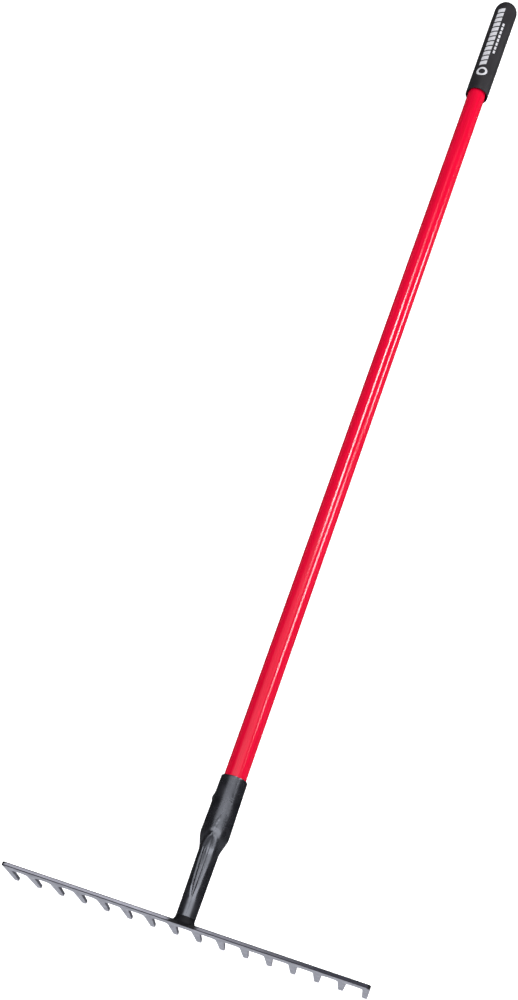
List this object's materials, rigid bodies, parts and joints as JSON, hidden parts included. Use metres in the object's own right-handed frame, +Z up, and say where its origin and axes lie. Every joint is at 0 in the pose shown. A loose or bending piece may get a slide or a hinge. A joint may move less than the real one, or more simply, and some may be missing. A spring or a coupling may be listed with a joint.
{
  "type": "level-head garden rake",
  "caption": "Long-handled garden rake with a straight steel comb welded to a drawn socket, a round fibreglass handle and a soft end grip.",
  "frame": {"origin": "on the ground under the middle of the tool's length, as it lies on its tine tips and the end of its grip", "axes": "+Y along the tool from head to grip, +Z up from the ground, X along the bar; the tines point down to -Z"},
  "size_m": [0.4064, 1.422, 0.0813],
  "materials": {
    "bare_steel": "bare steel, satin, slightly dulled, darker along its edges",
    "black_paint": "semi-gloss black paint",
    "red_fibreglass": "gloss red resin with faint lengthwise fibres",
    "plain_fibreglass": "unpigmented resin, matte",
    "hardwood": "turned, unfinished",
    "black_rubber": "matte moulded grip with a plain white printed mark"
  },
  "bodies": {
    "root": {"rake_head": "bare_steel", "socket": "black_paint", "weld_bead": "black_paint", "rivet": "black_paint", "handle_tube": "red_fibreglass", "reinforcing_sleeve": "plain_fibreglass", "core_dowel": "hardwood", "grip": "black_rubber"}
  },
  "joints": []
}
